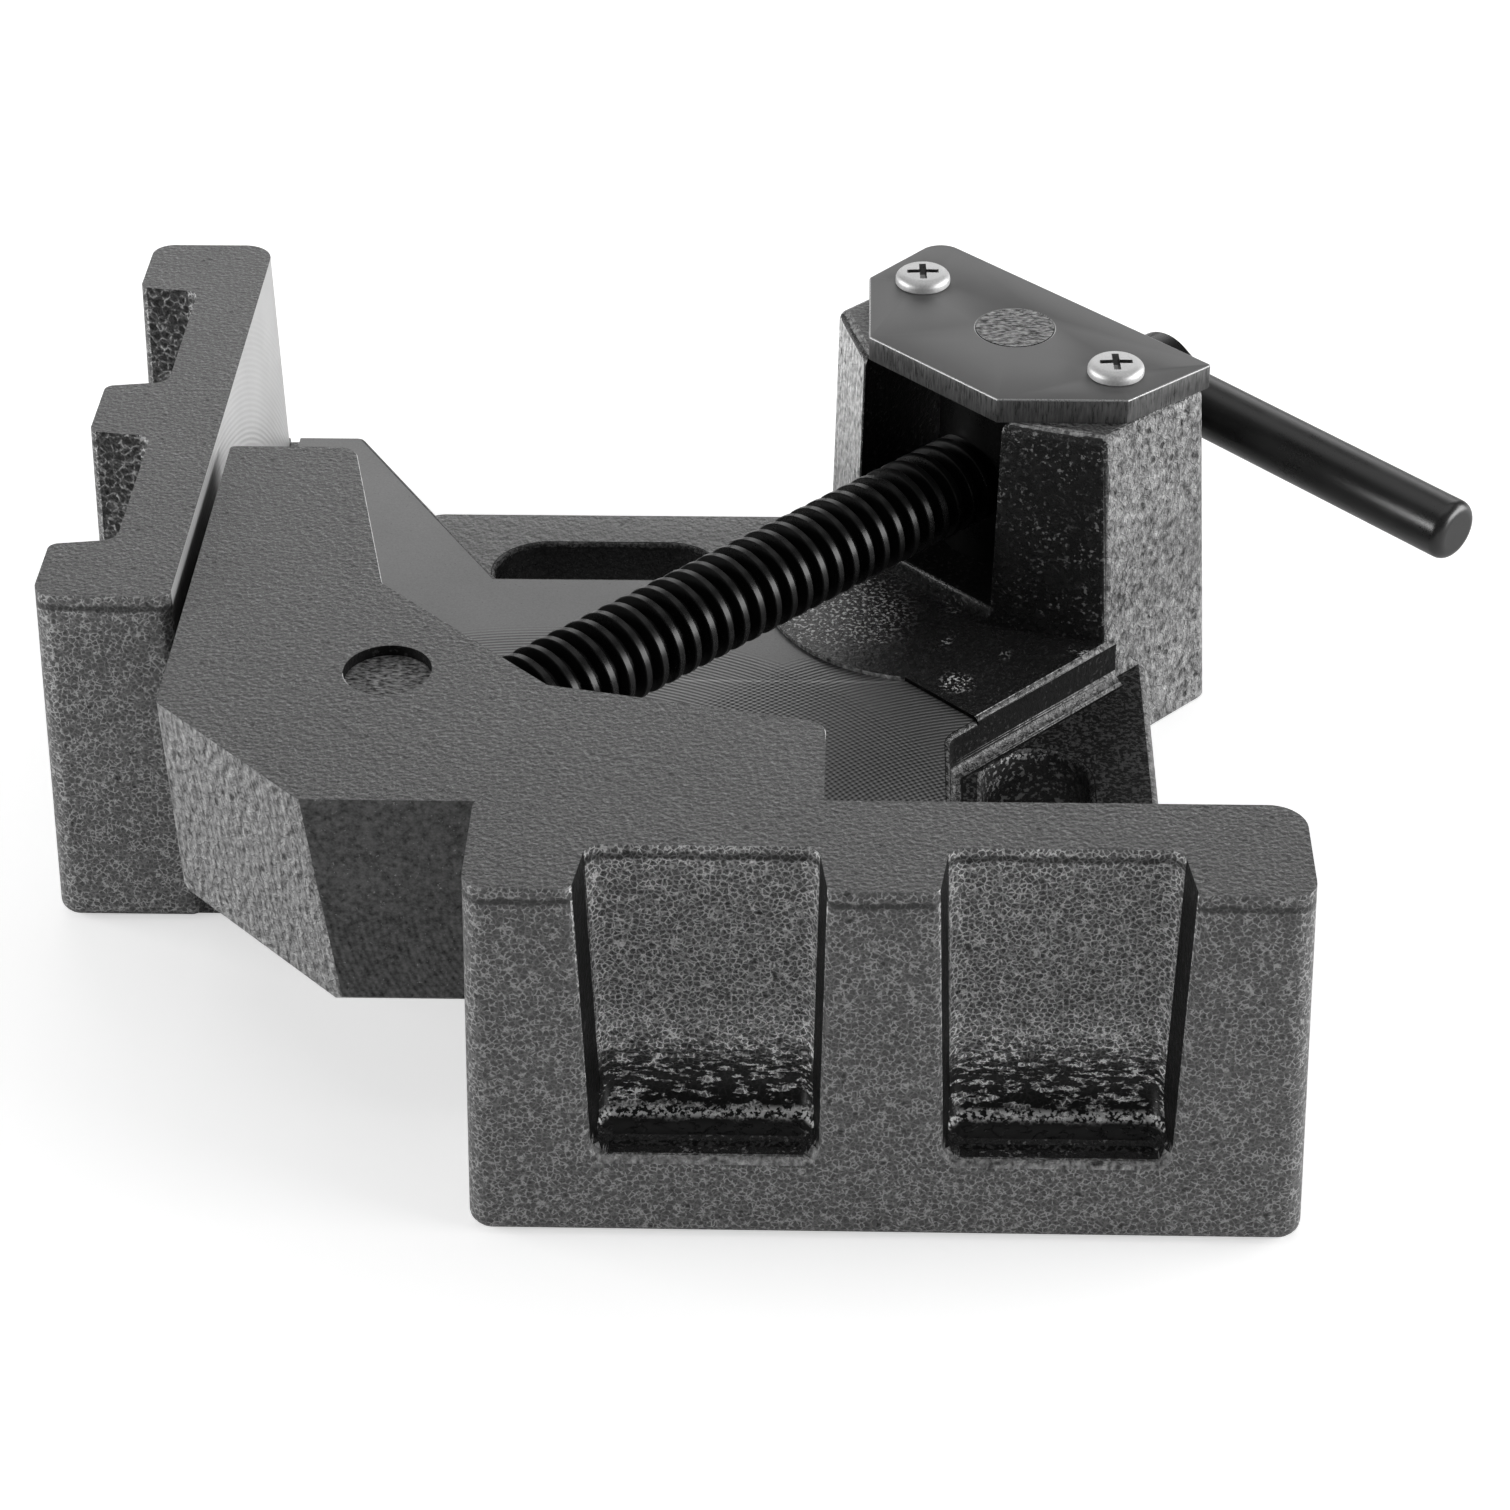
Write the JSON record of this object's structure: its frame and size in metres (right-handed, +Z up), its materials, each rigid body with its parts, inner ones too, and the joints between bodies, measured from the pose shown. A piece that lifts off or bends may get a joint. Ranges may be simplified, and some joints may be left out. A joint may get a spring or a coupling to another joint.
{
  "type": "corner clamp",
  "caption": "Cast-iron corner clamp: two fixed jaws at a right angle, a sliding V jaw pushed by a screw with a sliding handle bar, and slotted flanges for bench mounting.",
  "frame": {"origin": "the point at the level of the underside where the inner planes of the two fixed jaws would meet", "axes": "+X along the front jaw, +Y along the side jaw, +Z up; the screw runs on the diagonal between +X and +Y"},
  "size_m": [0.2633, 0.2393, 0.0765],
  "materials": {
    "painted_casting": "dark grey hammertone paint, working faces machined bare",
    "cast_steel": "as cast, blackened",
    "black_steel": "black oxide",
    "plain_steel": "plain",
    "zinc_steel": "bright zinc plated"
  },
  "bodies": {
    "frame": {"frame_casting": "painted_casting", "cover_plate": "black_steel", "cover_screw_front": "zinc_steel", "cover_screw_side": "zinc_steel"},
    "nut": {"trunnion_nut": "cast_steel"},
    "swivel": {"jaw_swivel": "cast_steel", "rear_thrust_washer": "plain_steel", "front_thrust_washer": "plain_steel"},
    "moving_jaw": {"moving_jaw": "painted_casting", "keeper_plate": "black_steel", "keeper_screw_1": "black_steel", "keeper_screw_2": "black_steel", "keeper_screw_3": "black_steel", "keeper_screw_4": "black_steel"},
    "spindle": {"spindle": "black_steel", "retaining_ring": "black_steel"},
    "tommy_bar": {"tommy_bar": "black_steel"}
  },
  "joints": [
    {"name": "nut_swivel", "type": "hinge", "parent": "frame", "child": "nut", "pos_m": [0.14877, 0.14877, 0.0462], "axis": [0, 0, 1], "range_deg": [-0.15, 0.15]},
    {"name": "screw_travel", "type": "slide", "parent": "nut", "child": "swivel", "axis": [0.7071, 0.7071, 0], "range_m": [0, 0.08]},
    {"name": "jaw_pivot", "type": "hinge", "parent": "swivel", "child": "moving_jaw", "pos_m": [0.03995, 0.03995, 0.0462], "axis": [0, 0, 1], "range_deg": [-0.4, 0.4]},
    {"name": "spindle_spin", "type": "hinge", "parent": "swivel", "child": "spindle", "pos_m": [0.03995, 0.03995, 0.0462], "axis": [0.7071, 0.7071, 0], "range_deg": [0, 7200]},
    {"name": "bar_slide", "type": "slide", "parent": "spindle", "child": "tommy_bar", "axis": [-0.7068, 0.7068, 0.0314], "range_m": [-0.03, 0.06]}
  ],
  "couplings": [
    {"joint": "spindle_spin", "follows": "screw_travel", "rad_per_m": 1570.8}
  ]
}
